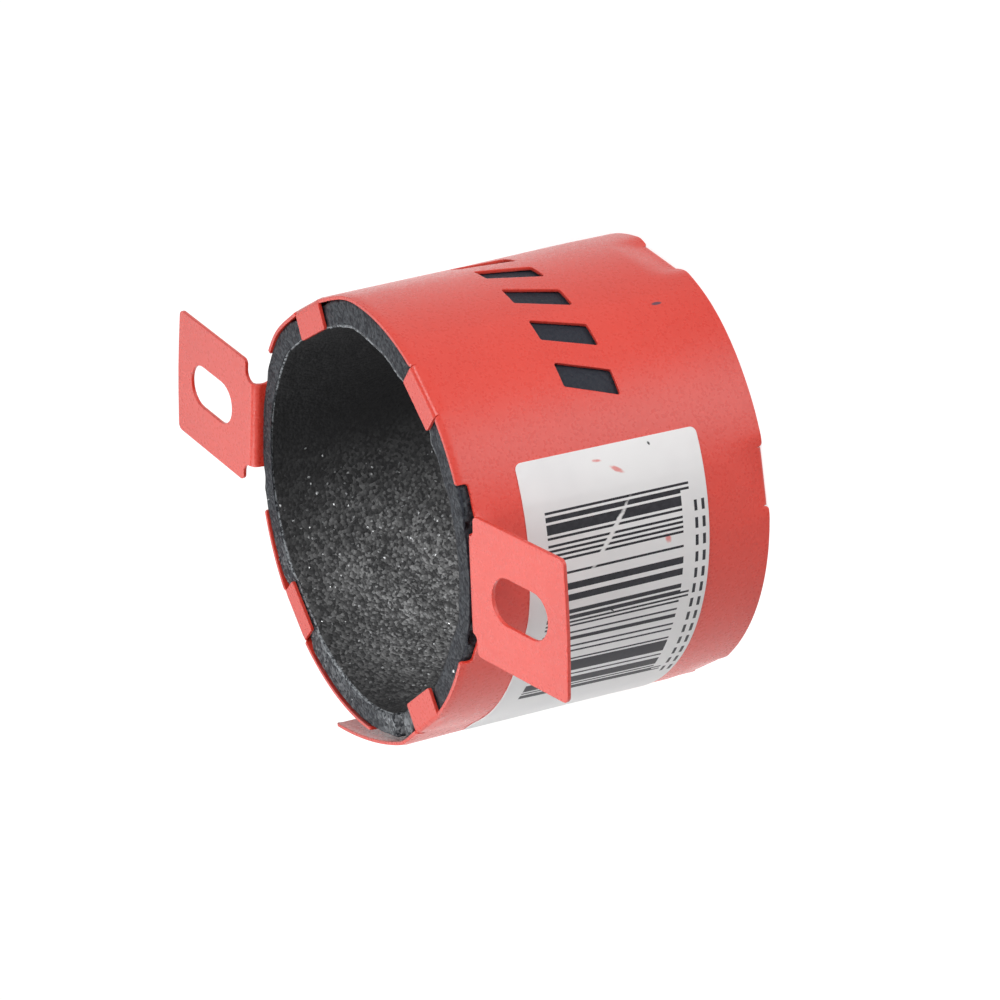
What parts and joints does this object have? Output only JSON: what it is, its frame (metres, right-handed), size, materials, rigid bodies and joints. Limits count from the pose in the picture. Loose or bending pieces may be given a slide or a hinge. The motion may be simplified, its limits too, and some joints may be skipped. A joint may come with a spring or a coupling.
{
  "type": "pipe fire collar",
  "caption": "Folded red steel collar with a graphite liner, slotted fixing ears and inward retaining tabs, that closes a plastic pipe's passage through a wall in a fire.",
  "frame": {"origin": "centre of the pipe bore at the liner's rear face", "axes": "+Z along the pipe towards the end with the fixing ears, +X through the right ear's side, +Y away from the lap seam"},
  "size_m": [0.0997, 0.0636, 0.0469],
  "materials": {
    "red_coat": "satin",
    "graphite": "matte",
    "label_paper": "satin"
  },
  "bodies": {
    "root": {"sleeve": "red_coat", "liner": "graphite", "label": "label_paper"}
  },
  "joints": []
}
